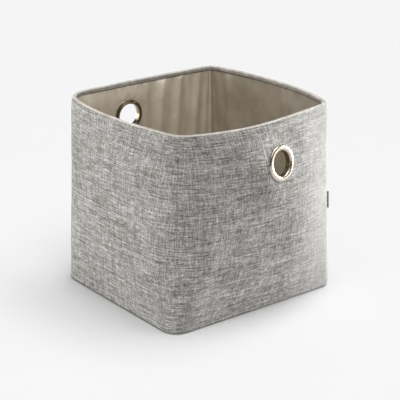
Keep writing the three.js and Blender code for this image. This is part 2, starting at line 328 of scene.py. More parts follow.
@dataclass(frozen=True)
class WovenLinen:
    """Plain-woven melange cloth: every thread has its own uneven tone along its length."""

    name: str = "woven_linen"
    thread: float = 1.25  # mm between two threads
    weft_slub: float = 40.0  # mm, length of an uneven stretch of weft
    warp_slub: float = 24.0
    dark: Colour = (0.118, 0.107, 0.092)
    middle: Colour = (0.395, 0.383, 0.360)
    light: Colour = (0.86, 0.855, 0.835)
    # Painted highlight: cream laid along the fold over the rim and on the hem band inside it, as if light
    # caught the rim's top.
    edge: Colour = (0.86, 0.80, 0.70)
    # Painted light: a paler colour laid over the right wall toward its back corner, where a lamp lights it
    # from the side.
    bleached: Colour = (0.56, 0.555, 0.54)
    shadow: Colour = (0.36, 0.352, 0.338)
    right_wall: tuple[float, float] = (0.09, 0.15)  # m along X where that wall takes over
    bleaching: tuple[float, float] = (0.03, 0.145)  # m along Y over which painted light pales the cloth
    far_corner: tuple[float, float] = (0.118, 0.15)  # m along Y over which painted shade darkens it again
    rim: float = 302.0  # mm along the cloth from its foot to the fold over the rim
    relief: float = 0.30 * MM

    def make(self) -> bpy.types.Material:
        """Builds the cloth's material."""
        p = Painter(self.name)
        x, y = p.cloth_axes()
        column, row = x / self.thread, y / self.thread
        i, j = column.math("FLOOR"), row.math("FLOOR")
        weft = p.noise(p.place(x / self.weft_slub, j * 7.31, 0.5), 1.0, 5.0, 0.9)
        warp = p.noise(p.place(i * 7.31, y / self.warp_slub, 20.5), 1.0, 5.0, 0.9)
        over = ((i + j) / 2.0).math("FRACT").math("GREATER_THAN", 0.25)
        top = weft * (1 - over) + warp * over
        patch = p.noise(p.place(x, y, 5.0), 0.010, 3.0, 0.55)
        tone = weft * 0.42 + warp * 0.3 + top * 0.28 + (patch - 0.5) * 0.06
        colour = p.ramp(
            tone,
            [(0.40, self.dark), (0.5, self.middle), (0.61, self.light)],
        )
        arch_x = (column.math("FRACT") * math.pi).math("SINE")
        arch_y = (row.math("FRACT") * math.pi).math("SINE")
        weft_lies = arch_y * (arch_x * 0.5 + 0.5)
        warp_lies = arch_x * (arch_y * 0.5 + 0.5)
        height = weft_lies * (1 - over) + warp_lies * over
        # Painted shade: the low parts of the weave between the threads' arches are mixed toward the dark
        # thread colour.
        shaded = p.mix(height.band(0.0, 0.55) * 0.35 + 0.65, self.dark, colour)
        # Painted highlight: a thin cream line along the fold over the rim, scaled by the threads' tone.
        worn = y.band(self.rim - 1.9, self.rim - 0.7)
        worn = worn * (1 - y.band(self.rim + 0.9, self.rim + 2.4))
        shaded = p.mix(worn * (tone * 0.8), shaded, self.edge)
        # Painted highlight: the hem band turned in under the fold is lightened the same way.
        folded = y.band(self.rim + 1.5, self.rim + 4.0)
        shaded = p.mix(folded * (tone * 0.75), shaded, self.edge)
        # Painted light on the right wall: paler toward the back corner, then painted shade over the last
        # stretch at that corner.
        place = p.node("ShaderNodeTexCoord", output="Object")
        outer = p.node("ShaderNodeSeparateXYZ", inputs={0: place}).band(*self.right_wall)
        along = p.node("ShaderNodeSeparateXYZ", inputs={0: place}, output=1)
        shaded = p.mix(outer * along.band(*self.bleaching) * 0.55, shaded, self.bleached)
        shaded = p.mix(outer * along.band(*self.far_corner) * 0.55, shaded, self.shadow)
        return p.finish(
            Base_Color=shaded,
            Roughness=0.92,
            Specular_IOR_Level=0.15,
            Sheen_Weight=0.06,
            Sheen_Roughness=0.5,
            Normal=p.bump(height + top * 0.8, self.relief, 0.7),
        )


@dataclass(frozen=True)
class SatinLining:
    """Smooth taupe lining with a faint rib and a soft sheen."""

    name: str = "satin_lining"
    deep: Colour = (0.53, 0.465, 0.365)
    pale: Colour = (0.66, 0.60, 0.49)
    # Colour of the painted shade under the hem and along the corner seams.
    shade: Colour = (0.10, 0.08, 0.055)
    rib: float = 0.55  # mm between ribs

    def make(self) -> bpy.types.Material:
        """Builds the lining's material."""
        p = Painter(self.name)
        x, y = p.cloth_axes()
        shade = p.noise(p.place(x, y, 2.0), 0.03, 3.0, 0.55)
        fine = p.noise(p.place(x / 0.7, y / 5.0), 1.0, 2.0, 0.6)
        colour = p.mix(shade.band(0.3, 0.7), self.deep, self.pale)
        colour = p.mix((fine - 0.5) * 0.25 + 0.12, colour, self.deep)
        to_seam, to_hem = p.cloth_axes("seams")
        # Painted shade: darker in the ditch just under the hem and near the corner seams.
        ditch = 1 - to_hem.band(1.6, 3.0)
        corner = 1 - to_seam.band(0.3, 5.0)
        colour = p.mix(ditch * 0.8, colour, self.shade)
        colour = p.mix(corner * 0.45, colour, self.shade)
        ribs = (x * (2 * math.pi / self.rib)).math("SINE") * 0.5 + 0.5
        crinkle = p.noise(p.place(x, y / 3.0, 9.0), 0.16, 3.0, 0.6)
        height = ribs * 0.04 + crinkle * 1.6 + fine * 0.1
        return p.finish(
            Base_Color=colour,
            Roughness=fine * 0.10 + 0.33,
            Specular_IOR_Level=0.6,
            Sheen_Weight=0.15,
            Sheen_Roughness=0.4,
            Normal=p.bump(height, 0.4 * MM, 0.6),
        )


@dataclass(frozen=True)
class PolishedMetal:
    """Champagne-plated metal with fine handling marks."""

    name: str = "champagne_metal"
    plate: Colour = (0.64, 0.58, 0.49)
    worn: Colour = (0.54, 0.48, 0.40)
    # Painted shade: colour of every part deeper than the wall's face: the barrel's inside, its rolled end and
    # the washer.
    inner: Colour = (0.30, 0.25, 0.17)

    def make(self) -> bpy.types.Material:
        """Builds the metal's material."""
        p = Painter(self.name)
        _, depth = p.cloth_axes()
        cloud = p.noise(None, 90.0, 3.0, 0.6)
        marks = p.noise(None, 900.0, 2.0, 0.7)
        plate = p.mix(cloud.band(0.4, 0.75), self.plate, self.worn)
        return p.finish(
            # Painted shade: below the wall's face the metal turns to the darker inner colour.
            Base_Color=p.mix(depth.band(-0.6, 0.4), self.inner, plate),
            Metallic=1.0,
            Roughness=cloud * 0.08 + marks * 0.04 + 0.17,
            Normal=p.bump(marks, 0.01 * MM, 0.2),
        )


@dataclass(frozen=True)
class FibreBoard:
    """Pressed fibre stiffener."""

    name: str = "fibre_board"
    deep: Colour = (0.27, 0.19, 0.115)
    pale: Colour = (0.42, 0.32, 0.21)

    def make(self) -> bpy.types.Material:
        """Builds the board's material."""
        p = Painter(self.name)
        fibres = p.noise(None, 420.0, 4.0, 0.7)
        cloud = p.noise(None, 24.0, 3.0, 0.5)
        mottle = fibres * 0.6 + cloud * 0.4
        return p.finish(
            Base_Color=p.mix(mottle.band(0.35, 0.65), self.deep, self.pale),
            Roughness=fibres * 0.15 + 0.75,
            Normal=p.bump(fibres, 0.15 * MM, 0.6),
        )


@dataclass(frozen=True)
class WovenTape:
    """Blank dark tape of the seam label, with a fine cross rib."""

    name: str = "label_tape"
    deep: Colour = (0.15, 0.145, 0.138)
    pale: Colour = (0.27, 0.265, 0.255)

    def make(self) -> bpy.types.Material:
        """Builds the tape's material."""
        p = Painter(self.name)
        x, y = p.cloth_axes()
        ribs = (y * (2 * math.pi / 0.6)).math("SINE") * 0.5 + 0.5
        fine = p.noise(p.place(x, y), 1.4, 2.0, 0.6)
        return p.finish(
            Base_Color=p.mix(ribs * 0.6 + fine * 0.4, self.deep, self.pale),
            Roughness=0.8,
            Normal=p.bump(ribs + fine * 0.5, 0.1 * MM, 0.7),
        )


@dataclass(frozen=True)
class Thread:
    """Spun sewing thread."""

    name: str = "sewing_thread"
    colour: Colour = (0.16, 0.14, 0.115)
    lit: Colour = (0.30, 0.27, 0.23)

    def make(self) -> bpy.types.Material:
        """Builds the thread's material."""
        p = Painter(self.name)
        ply = p.noise(None, 2600.0, 2.0, 0.6)
        return p.finish(
            Base_Color=p.mix(ply.band(0.35, 0.65), self.colour, self.lit),
            Roughness=0.7,
            Normal=p.bump(ply, 0.08 * MM, 0.6),
        )


@dataclass(frozen=True)
class StudioFloor:
    """Even pale floor."""

    name: str = "studio_floor"
    colour: Colour = (0.80, 0.80, 0.805)

    def make(self) -> bpy.types.Material:
        """Builds the floor's material."""
        p = Painter(self.name)
        cloud = p.noise(None, 3.0, 2.0, 0.5)
        dim = tuple(0.995 * c for c in self.colour)
        return p.finish(
            Base_Color=p.mix(cloud, self.colour, dim),
            Roughness=0.9,
            Specular_IOR_Level=0.1,
        )


class Finishes:
    """One material of each finish."""

    def __init__(self) -> None:
        """Builds them all."""
        self.linen = WovenLinen().make()
        self.lining = SatinLining().make()
        self.metal = PolishedMetal().make()
        # A darker copy of the metal: painted shade for the washer, which sits in the bin's shade.
        self.aged = PolishedMetal("aged_metal", (0.36, 0.31, 0.22), (0.22, 0.18, 0.12)).make()
        self.board = FibreBoard().make()
        self.tape = WovenTape().make()
        self.thread = Thread().make()
        self.floor = StudioFloor().make()


# ----------------------------------------------------------------- mesh making


def mesh_piece(
    name: str,
    points: Array,
    faces: Sequence[Sequence[int]],
    cloth: Array | None = None,
    smooth: bool = True,
    seams: Array | None = None,
) -> bpy.types.Object:
    """Makes a mesh object and puts it in the scene.

    Args:
        name: the piece's name.
        points: its vertices, in metres.
        faces: its faces, as vertex numbers.
        cloth: each vertex's place on the flat cloth, in metres.
        smooth: whether it is shaded smooth.
        seams: each vertex's distances to the nearest corner seam and to the hem's edge.

    Returns:
        The object.
    """
    mesh = bpy.data.meshes.new(name)
    mesh.from_pydata([tuple(p) for p in points], [], [tuple(f) for f in faces])
    mesh.validate()
    loops = np.empty(len(mesh.loops), np.int32)
    mesh.loops.foreach_get("vertex_index", loops)
    for layer_name, places in (("cloth", cloth), ("seams", seams)):
        if places is not None:
            layer = mesh.uv_layers.new(name=layer_name)
            layer.data.foreach_set("uv", places[loops].astype(np.float32).ravel())
    mesh.polygons.foreach_set("use_smooth", [smooth] * len(mesh.polygons))
    if smooth:
        mesh.set_sharp_from_angle(angle=math.radians(50))
    mesh.update()
    made = bpy.data.objects.new(name, mesh)
    bpy.context.collection.objects.link(made)
    return made


def sheet_faces(rows: int, columns: int) -> list[tuple[int, ...]]:
    """Faces of a sheet whose two sides are grids of vertices, one after the other.

    Args:
        rows: how many rows each side has.
        columns: how many vertices a row has.

    Returns:
        Quads of both sides and of the four narrow edges between them.
    """
    count = rows * columns
    faces = []
    for low in range(0, count - columns, columns):
        high = low + columns
        for c in range(columns - 1):
            faces.append((low + c, low + c + 1, high + c + 1, high + c))
    faces += [tuple(count + i for i in reversed(face)) for face in faces]
    bottom, top = range(columns), range(count - columns, count)
    start, end = range(0, count, columns), range(columns - 1, count, columns)
    for edge, back in ((bottom, False), (end, False), (top, True), (start, True)):
        for a, b in zip(edge, edge[1:]):
            quad = (b, a, a + count, b + count)
            faces.append(tuple(reversed(quad)) if back else quad)
    return faces


def turned(
    profile: Array, seat: "Seat", steps: int = 128
) -> tuple[Array, list[tuple[int, ...]], Array]:
    """Turns a closed profile about a seat's axis.

    Args:
        profile: closed list of radius and height.
        seat: the axis that it turns about.
        steps: how many facets it has.

    Returns:
        Points, faces, and each point's distance round and height.
    """
    angles = np.linspace(0, 2 * math.pi, steps, endpoint=False)
    rings = []
    for angle in angles:
        out = math.cos(angle) * seat.across + math.sin(angle) * seat.up
        rings.append(seat.centre + profile[:, :1] * out + profile[:, 1:] * seat.axis)
    count = len(profile)
    faces = []
    for s in range(steps):
        for k in range(count):
            a, b = s * count + k, s * count + (k + 1) % count
            c, d = ((s + 1) % steps) * count + (k + 1) % count, ((s + 1) % steps) * count + k
            faces.append((a, d, c, b))
    turn = np.repeat(angles * float(profile[:, 0].mean()), count)
    flat = np.stack([turn, np.tile(profile[:, 1], steps)], axis=1)
    return np.concatenate(rings), faces, flat


def smooth_noise(x: Array, y: Array, seed: int, octaves: int = 2) -> Array:
    """Repeatable soft noise over a plane.

    Args:
        x: first coordinate, in waves.
        y: second coordinate, in waves.
        seed: which noise.
        octaves: how many finer layers are added.

    Returns:
        Values from about -1 to 1.
    """
    rng = np.random.default_rng(seed)
    total = np.zeros(np.broadcast(x, y).shape)
    weight = 1.0
    for octave in range(octaves):
        for _ in range(7):
            angle, phase = rng.uniform(0, 2 * math.pi, 2)
            size = rng.uniform(0.6, 1.5) * 2**octave
            total = total + weight * np.sin(
                2 * math.pi * size * (x * math.cos(angle) + y * math.sin(angle)) + phase
            )
        weight *= 0.5
    return total / 4.2


# ------------------------------------------------------------------- bin shape


@dataclass
class BinForm:
    """The bin's skin, blended from three rounded outlines: at the base, half way up and at the rim."""

    height: float = 300 * MM
    top: tuple[float, float] = (284 * MM, 284 * MM)
    base: tuple[float, float] = (296 * MM, 313 * MM)
    bows: tuple[float, ...] = (17.5 * MM, 24 * MM, 21.5 * MM, 3 * MM)
    leans: tuple[float, ...] = (-0.21, -0.43, -0.30, 0.0)
    rim_corners: tuple[float, ...] = (35 * MM, 28 * MM, 12 * MM, 12 * MM)
    base_corners: tuple[float, ...] = (38 * MM, 28 * MM, 18 * MM, 34 * MM)
    waist: tuple[float, float] = (287.6 * MM, 297.8 * MM)
    waist_bows: tuple[float, ...] = (11 * MM, 23 * MM, 11 * MM, 2 * MM)
    waist_leans: tuple[float, ...] = (-0.6, 0.5, -0.15, 0.0)
    waist_corners: tuple[float, ...] = (45 * MM, 66 * MM, 15 * MM, 23 * MM)
    waist_shift: tuple[float, float] = (1.1 * MM, -2.4 * MM)
    side_steps: int = 60
    corner_steps: int = 24
    clearance: float = 0.3 * MM
    shell: float = 1.2 * MM
    board: float = 2.0 * MM
    lining: float = 0.8 * MM
    hem: float = 5.8 * MM
    rolls: tuple[float, ...] = (1.5 * MM, 0.0, 3.0 * MM, 0.5 * MM)
    roll_height: float = 26 * MM
    flat_reach: float = 30 * MM
    flat_fade: float = 62 * MM
    flats: list[tuple[Array, Array]] = field(default_factory=list)
    ground: float = 0.5 * MM
    feet: tuple[float, ...] = (5.0 * MM, 3.0 * MM, 9.0 * MM, 7.0 * MM)
    mid_feet: tuple[float, ...] = (3.2 * MM, 2.4 * MM, 4.0 * MM, 4.0 * MM)
    foot_fade: float = 0.085

    def __post_init__(self) -> None:
        """Works out the three outlines and the way round the bin at half height."""
        low, high = (np.array(corner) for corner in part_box("shell_base"))
        self.middle = (low + high)[:2] / 2
        self.low = self._outline(self.base, (0,) * 4, (0,) * 4, self.base_corners)
        self.high = self._outline(self.top, self.bows, self.leans, self.rim_corners)
        halfway = self._outline(
            self.waist, self.waist_bows, self.waist_leans, self.waist_corners
        ) + np.array(self.waist_shift)
        self.loops = (self.low, halfway, self.high)
        self.outs = tuple(self._outward(loop) for loop in self.loops)
        steps = np.linalg.norm(np.roll(halfway, -1, axis=0) - halfway, axis=1)
        self.way = np.concatenate([[0.0], np.cumsum(steps)])
        self.lining_inset = self.shell + self.board + 2 * self.clearance
        self.hem_inset = self.lining_inset + self.lining + self.clearance
        self.rim = self.hem_inset + self.shell

    @property
    def wall_steps(self) -> int:
        """Stations that one wall takes."""
        return self.side_steps + self.corner_steps

    def _outline(
        self,
        size: tuple[float, float],
        bows: Sequence[float],
        leans: Sequence[float],
        cuts: Sequence[float],
    ) -> Array:
        """Closed outline round the middle of the bin.

        Args:
            size: length along X and along Y between the corners.
            bows: how far each side bulges.
            leans: how far each bulge leans along its side.
            cuts: how far each corner is cut back.

        Returns:
            Points, starting at the middle of the front left corner.
        """
        signs = np.array([(-1, -1), (1, -1), (1, 1), (-1, 1)])
        corners = signs * np.array(size) / 2 + self.middle
        sides = []
        for i in range(4):
            start, end = corners[i], corners[(i + 1) % 4]
            along = end - start
            length = np.linalg.norm(along)
            out = np.array([along[1], -along[0]]) / length
            s = np.linspace(cuts[i] / length, 1 - cuts[(i + 1) % 4] / length, self.side_steps + 1)
            bulge = bows[i] * 4 * s * (1 - s) * (1 + leans[i] * (2 * s - 1))
            sides.append(start + s[:, None] * along + bulge[:, None] * out)
        points = []
        for i, side in enumerate(sides):
            before = sides[i - 1]
            a, u = before[-1], before[-1] - before[-2]
            b, v = side[0], side[1] - side[0]
            t = np.linalg.solve(np.array([u, -v]).T, b - a)[0]
            apex = a + t * u
            w = np.arange(1, self.corner_steps)[:, None] / self.corner_steps
            points.append((1 - w) ** 2 * a + 2 * w * (1 - w) * apex + w * w * b)
            points.append(side)
        return np.roll(np.concatenate(points), 1 - self.corner_steps // 2, axis=0)

    @staticmethod
    def _outward(loop: Array) -> Array:
        """Outward directions of a closed outline."""
        along = np.roll(loop, -1, axis=0) - np.roll(loop, 1, axis=0)
        out = np.stack([along[:, 1], -along[:, 0]], axis=1)
        return out / np.linalg.norm(out, axis=1, keepdims=True)

    def _read(self, loop: Array, station: Array) -> Array:
        """Values of a closed loop between its stations."""
        count = len(loop)
        index = np.floor(station).astype(int)
        share = (station - index)[..., None]
        return loop[index % count] * (1 - share) + loop[(index + 1) % count] * share

    def skin(self, turn: Array, z: Array, inset: Array) -> Array:
        """Points of the skin.

        Args:
            turn: the way round in walls, from 0 at the front wall's left seam to 4.
            z: height.
            inset: how far in from the skin.

        Returns:
            Points, with a last axis of three.
        """
        turn, z, inset = np.broadcast_arrays(
            np.asarray(turn, float), np.asarray(z, float), np.asarray(inset, float)
        )
        station = turn * self.wall_steps
        share = np.clip(z / self.height, 0, 1.02)[..., None]
        shares = ((1 - share) * (1 - 2 * share), 4 * share * (1 - share), share * (2 * share - 1))
        flat = sum(self._read(loop, station) * part for loop, part in zip(self.loops, shares))
        out = sum(self._read(loop, station) * part for loop, part in zip(self.outs, shares))
        out = out / np.linalg.norm(out, axis=-1, keepdims=True)
        corner = np.round(turn)
        near = np.exp(-(((turn - corner) / 0.11) ** 2))
        high = np.clip((z - (self.height - self.roll_height)) / self.roll_height, 0, 1)
        roll = np.array(self.rolls)[corner.astype(int) % 4] * near * high**2
        outside = np.concatenate([flat - out * roll[..., None], z[..., None]], axis=-1)
        depth = np.concatenate([out * inset[..., None], 0 * z[..., None]], axis=-1)
        for centre, axis in self.flats:
            away = outside - centre
            level = away @ axis
            reach = np.linalg.norm(away - level[..., None] * axis, axis=-1)
            hold = np.clip((self.flat_fade - reach) / (self.flat_fade - self.flat_reach), 0, 1)
            hold = hold * hold * (3 - 2 * hold) * (np.abs(level) < 30 * MM)
            outside = outside - (hold * level)[..., None] * axis
        return outside - depth

    def foot_radius(self, turn: Array) -> Array:
        """How round the base edge is: each corner and each wall's middle has its own radius."""
        turn = np.asarray(turn, float)
        corner = np.round(turn)
        near = np.exp(-(((turn - corner) / self.foot_fade) ** 2))
        at_corner = np.array(self.feet)[corner.astype(int) % 4]
        at_wall = np.array(self.mid_feet)[np.floor(turn).astype(int) % 4]
        return at_wall + (at_corner - at_wall) * near

    def foot_height(self, turn: Array, inset: float) -> Array:
        """Height of the outer cloth's inner face over the rounded base edge.

        Args:
            turn: the way round.
            inset: how far in from the skin.

        Returns:
            The height; the cloth lies flat further in than the edge's radius.
        """
        radius = self.foot_radius(turn)
        away = np.clip(1 - inset / radius, 0, 1)
        return self.ground + self.shell + radius - radius * np.sqrt(1 - away**2)

    def girth(self, turn: Array) -> Array:
        """Distance round the bin at half height."""
        return np.interp(
            np.asarray(turn, float) * self.wall_steps, np.arange(len(self.way)), self.way
        )


@dataclass
class Seat:
    """Where an eyelet sits: a centre on the skin, its directions and the faces that it clamps."""

    centre: Array
    axis: Array
    across: Array
    up: Array
    outer: float
    inner: float
    turn: float


@dataclass
class EyeletSizes:
    """Sizes of an eyelet and its washer."""

    bore: float = 19.2 * MM
    flange: float = 7.8 * MM
    dome: float = 2.8 * MM
    metal: float = 0.9 * MM
    roll: float = 2.8 * MM
    washer: float = 5.2 * MM
    washer_metal: float = 1.2 * MM
    offsets: dict[Wall, float] = field(
        default_factory=lambda: {Wall.RIGHT: 24.5 * MM, Wall.LEFT: 28 * MM}
    )
    drops: dict[Wall, float] = field(
        default_factory=lambda: {Wall.RIGHT: 65 * MM, Wall.LEFT: 56 * MM}
    )
    turns: dict[Wall, tuple[float, float]] = field(
        default_factory=lambda: {Wall.RIGHT: (7.0, 6.5), Wall.LEFT: (0.0, 0.0)}
    )

    @property
    def barrel(self) -> float:
        """Outer radius of the barrel."""
        return self.bore + self.metal

    def seat(self, form: BinForm, wall: Wall) -> Seat:
        """Finds an eyelet's place on its wall.

        Args:
            form: the bin's skin.
            wall: the wall that it sits in.

        Returns:
            The seat.
        """
        z = form.height - self.drops[wall]
        turns = np.linspace(wall.value + 0.1, wall.value + 0.9, 1601)
        side = 1 if wall is Wall.RIGHT else -1
        places = form.skin(turns, z, 0.0)
        gap = np.abs(side * (places[:, 1] - form.middle[1]) - self.offsets[wall])
        turn = float(turns[int(np.argmin(gap))])
        centre = form.skin(turn, z, 0.0)
        across = form.skin(turn + 0.02, z, 0.0) - form.skin(turn - 0.02, z, 0.0)
        across /= np.linalg.norm(across)
        up = form.skin(turn, z + 0.01, 0.0) - form.skin(turn, z - 0.01, 0.0)
        axis = np.cross(across, up)
        axis /= np.linalg.norm(axis)
        swing, nod = (math.radians(angle) for angle in self.turns[wall])
        axis = axis + math.tan(swing) * across + math.tan(nod) * np.array([0.0, 0.0, 1.0])
        axis /= np.linalg.norm(axis)
        across = np.cross([0.0, 0.0, 1.0], axis)
        across /= np.linalg.norm(across)
        up = np.cross(axis, across)
        form.flats.append((centre, axis))

        reach = self.bore + self.flange
        around = np.linspace(-0.12, 0.12, 49)[:, None] + turn
        heights = np.linspace(-reach, reach, 29)[None, :] + z

        def levels(inset: float) -> Array:
            """Heights along the axis of the skin under the flange."""
            away = form.skin(around, heights, inset) - centre
            level = away @ axis
            flat = np.linalg.norm(away - level[..., None] * axis, axis=-1)
            return level[flat <= reach]

        return Seat(
            centre,
            axis,
            across,
            up,
            float(levels(0.0).max()) + form.clearance,
            float(levels(form.lining_inset + form.lining).min()) - form.clearance,
            turn,
        )


# ------------------------------------------------------------------ cloth work


@dataclass
class Cloth:
    """Builds a piece of cloth swept round part of the bin."""

    form: BinForm
    thickness: float

    def swept(
        self,
        name: str,
        turns: Array,
        path: Array,
        shift: Callable[[Array, Array, Array], tuple[Array, Array]],
    ) -> bpy.types.Object:
        """Sweeps a path of cloth round the bin.

        Args:
            name: the piece's name.
            turns: the way round of each column.
            path: inset and height along the cloth, from one edge to the other.
            shift: gives extra inset and height for a turn, a height and a way along the cloth.

        Returns:
            The piece, closed, with both faces of the cloth.
        """
        steps = np.linalg.norm(np.diff(path, axis=0), axis=1)
        way = np.concatenate([[0.0], np.cumsum(steps)])
        tangent = np.gradient(path, axis=0)
        normal = np.stack([tangent[:, 1], -tangent[:, 0]], axis=1)
        normal /= np.linalg.norm(normal, axis=1, keepdims=True)
        columns, rows = len(turns), len(path)
        turn = np.broadcast_to(turns[None, :], (rows, columns))
        more, lift = shift(turn, path[:, 1:] + 0 * turn, way[:, None] + 0 * turn)
        faces_of_cloth = []
        for side in (0.0, self.thickness):
            inset = path[:, :1] + side * normal[:, :1] + more
            z = path[:, 1:] + side * normal[:, 1:] + lift
            faces_of_cloth.append(self.form.skin(turn, z, inset).reshape(-1, 3))
        wide = np.broadcast_to(self.form.girth(turns)[None, :], (rows, columns))
        tall = np.broadcast_to(way[:, None], (rows, columns))
        flat = np.stack([wide, tall], axis=-1).reshape(-1, 2)
        to_seam = np.abs(wide - self.form.girth(np.round(turn)))
        to_hem = self.form.height - self.form.hem - np.broadcast_to(path[:, 1:], (rows, columns))
        near = np.stack([to_seam, to_hem], axis=-1).reshape(-1, 2)
        return mesh_piece(
            name,
            np.concatenate(faces_of_cloth),
            sheet_faces(rows, columns),
            np.concatenate([flat, flat]),
            seams=np.concatenate([near, near]),
        )


def cut_round_hole(piece: bpy.types.Object, seat: Seat, steps: int = 96) -> None:
    """Cuts the hole for an eyelet through a wall's cloth or board.

    Args:
        piece: the cloth or board.
        seat: the eyelet's seat.
        steps: how many sides the drill has.
    """
    angles = np.linspace(0, 2 * math.pi, steps, endpoint=False)
    ring = np.cos(angles)[:, None] * seat.across + np.sin(angles)[:, None] * seat.up
    ends = [seat.centre + EYELET_HOLE * ring + h * seat.axis for h in (-20 * MM, 20 * MM)]
    sides = [(i, (i + 1) % steps, steps + (i + 1) % steps, steps + i) for i in range(steps)]
    faces = sides + [tuple(reversed(range(steps))), tuple(range(steps, 2 * steps))]
    drill = mesh_piece("drill", np.concatenate(ends), faces, smooth=False)
    cut = piece.modifiers.new("eyelet_hole", "BOOLEAN")
    cut.object = drill
    cut.operation = "DIFFERENCE"
    cut.solver = "EXACT"
    apply_modifiers(piece)
    bpy.data.objects.remove(drill, do_unlink=True)


def apply_modifiers(piece: bpy.types.Object) -> None:
    """Bakes a piece's modifiers into its mesh."""
    seen = piece.evaluated_get(bpy.context.evaluated_depsgraph_get())
    mesh = bpy.data.meshes.new_from_object(seen)
    piece.modifiers.clear()
    piece.data = mesh


def dress(
    piece: bpy.types.Object,
    material: bpy.types.Material,
    slot: Slot,
    body: Body,
    *replaced: str,
) -> bpy.types.Object:
    """Gives a piece its material and its body, and hides the frame nodes that it replaces.

    Args:
        piece: the piece.
        material: its material.
        slot: the record's slot that the finish comes from; not used.
        body: the body that it moves with.
        replaced: frame nodes that it stands for.

    Returns:
        The piece.
    """
    piece.data.materials.clear()
    piece.data.materials.append(material)
    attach(piece, body.value)
    if replaced:
        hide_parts(*replaced)
    LOG.info("%s: %d faces, on %s", piece.name, len(piece.data.polygons), body.value)
    return piece


@dataclass
class Shell:
    """Outer cloth: four wall panels that fold over the rim, and the base panel."""

    form: BinForm
    finishes: Finishes
    seats: dict[Wall, Seat]
    cloth: float = 0.9 * MM
    seam_gap: float = 0.1 * MM
    seam_depth: float = 0.45 * MM
    seam_width: float = 1.2 * MM
    edge_radius: float = 5.0 * MM
    columns: int = 120
    ripple: float = 0.35 * MM
    wave: float = 0.5 * MM
    foot_reach: float = 60 * MM
    base_inset: float = 0.4 * MM

    def build(self) -> None:
        """Builds and dresses every panel."""
        for wall in Wall:
            self._wall(wall)
        self._base()

    def _path(self) -> Array:
        """Inset and height along the cloth, from under the base to the hem's edge."""
        form, r = self.form, self.edge_radius
        angles = np.linspace(math.pi / 2, 0, 9)
        foot = np.stack([r - r * np.cos(angles), form.ground + r - r * np.sin(angles)], axis=1)
        half = form.rim / 2
        lift = 0.9 * half
        rise = np.linspace(r + form.ground, form.height - lift, 60)[1:-1]
        side = np.stack([np.zeros_like(rise), rise], axis=1)
        over = np.linspace(math.pi, 0, 15)
        fold = np.stack(
            [
                half + half * np.sign(np.cos(over)) * np.abs(np.cos(over)) ** 0.8,
                form.height - lift + lift * np.abs(np.sin(over)) ** 0.8,
            ],
            axis=1,
        )
        drop = np.linspace(form.height - lift, form.height - form.hem, 5)[1:]
        hem = np.stack([np.full_like(drop, form.rim), drop], axis=1)
        return np.concatenate([foot, side, fold, hem])

    def _shift(self, turn: Array, z: Array, way: Array) -> tuple[Array, Array]:
        """Softness of the cloth: seam grooves, faint ripples and an uneven rim."""
        form = self.form
        girth = form.girth(turn)
        nearest = np.round(turn)
        to_seam = np.abs(girth - form.girth(nearest))
        groove = self.seam_depth * np.exp(-((to_seam / self.seam_width) ** 2))
        inside = way > form.height + form.rim / 2
        ripple = self.ripple * smooth_noise(girth / 0.11, z / 0.13, 3)
        fade = np.clip(z / 0.03, 0, 1) * np.clip((form.height - z) / 0.03, 0.25, 1)
        rounder = form.foot_radius(turn) - self.edge_radius
        bend = np.clip(1 - way / (self.edge_radius * math.pi / 2), 0, 1) * math.pi / 2
        above = np.clip(1 - (z - self.edge_radius) / self.foot_reach, 0, 1)
        lift = self.wave * smooth_noise(girth / 0.16, 0 * z, 8, 1)
        lift = lift * np.clip(z / form.height, 0, 1) ** 4
        lift = lift * np.clip((z - 0.02) / 0.02, 0, 1)
        lift = lift + rounder * (1 - np.sin(bend)) * above
        inset = np.where(inside, -groove, groove) + ripple * fade * ~inside
        return inset + rounder * (1 - np.cos(bend)), lift

    def _turns(self, wall: Wall) -> Array:
        """Columns of a wall panel, closer together at the seams."""
        form = self.form
        s = np.linspace(0, 1, self.columns + 1)
        eased = s - 0.36 / math.pi * np.sin(2 * math.pi * s)
        start, end = form.girth(float(wall.value)), form.girth(wall.value + 1.0)
        girth = start + self.seam_gap + (end - start - 2 * self.seam_gap) * eased
        stations = np.interp(girth, form.way, np.arange(len(form.way)))
        return stations / form.wall_steps

    def _wall(self, wall: Wall) -> None:
        """Builds one wall panel."""
        name = f"shell_{wall.word}_cloth"
        turns = self._turns(wall)
        path = self._path()
        piece = Cloth(self.form, self.cloth).swept(name, turns, path, self._shift)
        if wall in self.seats:
            cut_round_hole(piece, self.seats[wall])
        dress(piece, self.finishes.linen, Slot.SHELL, Body.BIN, f"shell_{wall.word}")
        width = float(self.form.girth(turns[-1]) - self.form.girth(turns[0]))

    def _base(self) -> None:
        """Builds the base panel, sewn to the walls a little way in from the edge."""
        turns = np.linspace(0, 4, 337)[:-1]
        piece = flat_panel(
            "shell_base_cloth",
            self.form.skin(turns, 0.0, self.form.foot_radius(turns) - self.base_inset),
            0.25 * MM,
            self.cloth,
            0.25 * MM,
            31,
        )
        dress(piece, self.finishes.linen, Slot.SHELL, Body.BIN, "shell_base")
        width, length = (float(v) for v in np.ptp(corner_array(piece), axis=0)[:2])


def corner_array(piece: bpy.types.Object) -> Array:
    """Vertices of a piece as an array."""
    points = np.empty(len(piece.data.vertices) * 3, np.float32)
    piece.data.vertices.foreach_get("co", points)
    return points.reshape(-1, 3)


